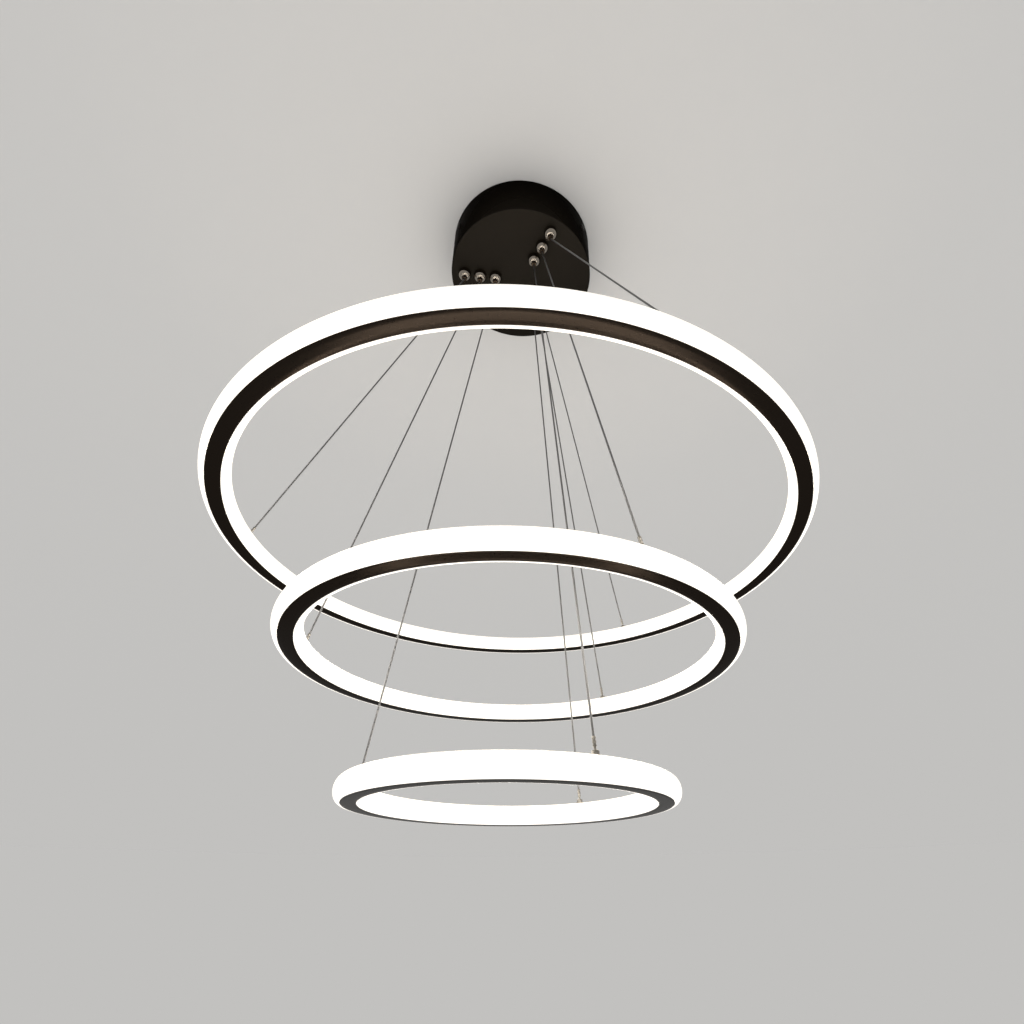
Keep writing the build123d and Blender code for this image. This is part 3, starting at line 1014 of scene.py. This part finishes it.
# ---- ball studs ----
# Three turned, nickel-plated sockets screwed into the top of each ring. The ball of a wire's end
# turns in each, so that the wire can slant towards the canopy.
stud_azimuths = {"left": 180.0, "front": 300.0, "back": 60.0}
stud_base_radius = 0.0024
stud_base_height = 0.001
stud_cup_radius = 0.0019
stud_cup_height = 0.0019
stud_shank_radius = 0.0009
stud_shank_length = 0.004
stud_rounding = 0.0002
stud_sides = 64
cup_segments = 48
cup_rings = 10  # so that none of its rings meets an edge of the stud
ball_radius = 0.0012
ball_clearance = 0.0003
ball_rise = stud_base_height + ball_clearance + ball_radius


def ring_top(size):
    """The height of the upper face of a ring's channel."""
    return profile_height - ring_drops[size]


def ball_centre(size, line):
    """The middle of the ball that ends a wire, above the middle of the ring's channel."""
    return around(stud_azimuths[line], band_middle(size), ring_top(size) + ball_rise)


def ball_stud():
    """A socket whose base stands on the origin, with a screwed shank below it."""
    stud = fresh(
        bpy.ops.mesh.primitive_cylinder_add,
        vertices=stud_sides,
        radius=stud_base_radius,
        depth=stud_base_height,
        location=(0, 0, stud_base_height / 2),
    )
    bpy.ops.object.transform_apply(location=True)
    bpy.ops.object.mode_set(mode="EDIT")
    step_end(stud, 1, inset=stud_base_radius - stud_cup_radius, rise=stud_cup_height)
    step_end(stud, -1, inset=stud_base_radius - stud_shank_radius, rise=-stud_shank_length)
    bpy.ops.object.mode_set(mode="OBJECT")
    ball = fresh(
        bpy.ops.mesh.primitive_uv_sphere_add,
        segments=cup_segments,
        ring_count=cup_rings,
        radius=ball_radius + ball_clearance,
        location=(0, 0, ball_rise),
    )
    cut_with(stud, ball)
    round_sharp_edges(stud, stud_rounding, segments=3)
    return stud


first_stud = ball_stud()
for size in band_radii:
    for line, azimuth in stud_azimuths.items():
        foot = around(azimuth, band_middle(size), ring_top(size))
        stud = copy_at(first_stud, Matrix.Translation(foot))
        fit(
            stud,
            f"{size}_ring_ball_stud_{line}",
            nickel_plate,
            f"{size}_ring",
            "nickelled_brass",
            f"{size}_ring_ball_studs",
        )
bpy.data.objects.remove(first_stud)


# ---- wire ends ----
# A steel ball on a short neck, under a sleeve that is crimped twice round the end of the wire.
# The ball turns in its socket on the ring, and the neck and sleeve follow the wire.
ball_segments = 40
ball_rings = 20
neck_radius = 0.0006
neck_length = 0.0022
neck_root = ball_radius * 0.8  # inside the ball, so that no gap shows
sleeve_radius = 0.001
sleeve_length = 0.005
sleeve_chamfer = 0.00015
sleeve_sides = 40
crimp_radius = 0.0008
crimp_places = (0.0014, 0.0035)
crimp_width = 0.0006
crimp_steps = (-1.0, -0.5, 0.5, 1.0)  # in crimp widths; the inner two are squeezed
crimp_reach = 0.6 * crimp_width
sleeve_bore = 0.00064
wire_hold = 0.002


def wire_mouth(size, line):
    """Where a wire leaves its grip."""
    return around(grip_azimuths[line], grip_radii[size], mouth_z)


def up_wire(size, line):
    """The placement that turns what stands on the origin up a wire, from the middle of its ball."""
    run = wire_mouth(size, line) - ball_centre(size, line)
    turn = run.to_track_quat("Z", "Y").to_matrix().to_4x4()
    return Matrix.Translation(ball_centre(size, line)) @ turn


def shorten_with_ring(piece):
    """Gives what hangs a ring its own copy of its mesh."""
    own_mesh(piece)


def crimped_sleeve():
    """The neck and sleeve, up the Z axis from the middle of the ball at the origin."""
    sleeve = fresh(
        bpy.ops.mesh.primitive_cylinder_add,
        vertices=sleeve_sides,
        radius=sleeve_radius,
        depth=sleeve_length,
        location=(0, 0, neck_length + sleeve_length / 2),
    )
    bpy.ops.object.transform_apply(location=True)
    bpy.ops.object.mode_set(mode="EDIT")
    for place in crimp_places:
        for step in crimp_steps:
            level = neck_length + place + step * crimp_width
            bpy.ops.mesh.select_all(action="SELECT")
            bpy.ops.mesh.bisect(plane_co=(0, 0, level), plane_no=(0, 0, 1))
        squeezed = neck_length + place
        pick_edges(
            sleeve,
            lambda a, b: abs(a.z - b.z) < touching and abs(a.z - squeezed) < crimp_reach,
        )
        pinch = crimp_radius / sleeve_radius
        bpy.ops.transform.resize(value=(pinch, pinch, 1))
    step_end(sleeve, -1, inset=sleeve_radius - neck_radius, rise=neck_root - neck_length)
    step_end(sleeve, 1, inset=sleeve_radius - sleeve_bore, rise=-wire_hold)
    for rim_z in (neck_length + sleeve_length, neck_length):
        pick_edges(
            sleeve,
            lambda a, b: max(abs(a.z - rim_z), abs(b.z - rim_z)) < touching
            and min(a.xy.length, b.xy.length) > crimp_radius,
        )
        bpy.ops.mesh.bevel(offset=sleeve_chamfer, segments=2, affect="EDGES")
    bpy.ops.object.mode_set(mode="OBJECT")
    return sleeve


first_sleeve = crimped_sleeve()
for size in band_radii:
    for line in stud_azimuths:
        ball = fresh(
            bpy.ops.mesh.primitive_uv_sphere_add,
            segments=ball_segments,
            ring_count=ball_rings,
            radius=ball_radius,
            location=ball_centre(size, line),
        )
        settle(ball)
        fit(
            ball,
            f"{size}_ring_wire_ball_{line}",
            nickel_plate,
            f"{size}_ring",
            "nickelled_brass",
            f"{size}_ring_ball_ferrules",
        )
        sleeve = copy_at(first_sleeve, up_wire(size, line))
        fit(
            sleeve,
            f"{size}_ring_wire_sleeve_{line}",
            nickel_plate,
            "canopy",
            "nickelled_brass",
            f"{size}_ring_ball_ferrules",
        )
        shorten_with_ring(sleeve)
bpy.data.objects.remove(first_sleeve)


# ---- suspension wires ----
# Stainless wire rope, 1.2 mm thick: six strands laid round a core. Each runs taut from its grip
# down to its ring, and all but three also carry the low-voltage current.
wire_diameter = 0.0012
strand_valley = 0.00044
strands = 6
points_per_strand = 4
valley_point = 2
lay_length = 0.009
lay_steps = 12
rope_foot = neck_length + sleeve_length - wire_hold / 2


def wire_rope(length):
    """Six strands twisted up the Z axis from the origin, to a length."""
    rope = fresh(
        bpy.ops.mesh.primitive_circle_add,
        vertices=points_per_strand * strands,
        radius=wire_diameter / 2,
        fill_type="NOTHING",
    )
    bpy.ops.object.mode_set(mode="EDIT")
    bpy.ops.mesh.select_mode(type="VERT")
    bpy.ops.mesh.select_all(action="DESELECT")
    bpy.ops.object.mode_set(mode="OBJECT")
    for number, point in enumerate(rope.data.vertices):
        point.select = number % points_per_strand == valley_point
    bpy.ops.object.mode_set(mode="EDIT")
    valley = strand_valley / (wire_diameter / 2)
    bpy.ops.transform.resize(value=(valley, valley, 1))
    bpy.ops.object.mode_set(mode="OBJECT")
    turns = round(length / lay_length)
    lay = rope.modifiers.new("lay", "SCREW")
    lay.axis = "Z"
    lay.angle = 2 * pi
    lay.iterations = turns
    lay.screw_offset = length / turns
    lay.steps = lay.render_steps = lay_steps
    bpy.ops.object.modifier_apply(modifier=lay.name)
    bpy.ops.object.mode_set(mode="EDIT")
    bpy.ops.mesh.select_all(action="SELECT")
    bpy.ops.mesh.remove_doubles(threshold=seam)
    bpy.ops.mesh.fill_holes(sides=0)
    bpy.ops.mesh.select_all(action="SELECT")
    bpy.ops.mesh.normals_make_consistent(inside=False)
    bpy.ops.object.mode_set(mode="OBJECT")
    return rope


steel_rope = tooled_metal("twisted_steel_rope", "808080", roughness=0.42, mark_size=0.0004)
for size in band_radii:
    for line in stud_azimuths:
        length = (wire_mouth(size, line) - ball_centre(size, line)).length - rope_foot
        rope = wire_rope(length)
        rope.matrix_world = up_wire(size, line) @ Matrix.Translation((0, 0, rope_foot))
        settle(rope, smooth_below=40)
        fit(
            rope,
            f"{size}_ring_wire_{line}",
            steel_rope,
            "canopy",
            "steel_wire",
            f"{size}_ring_wires",
        )
        shorten_with_ring(rope)
finish_nodes(steel_rope, "wire_tails")
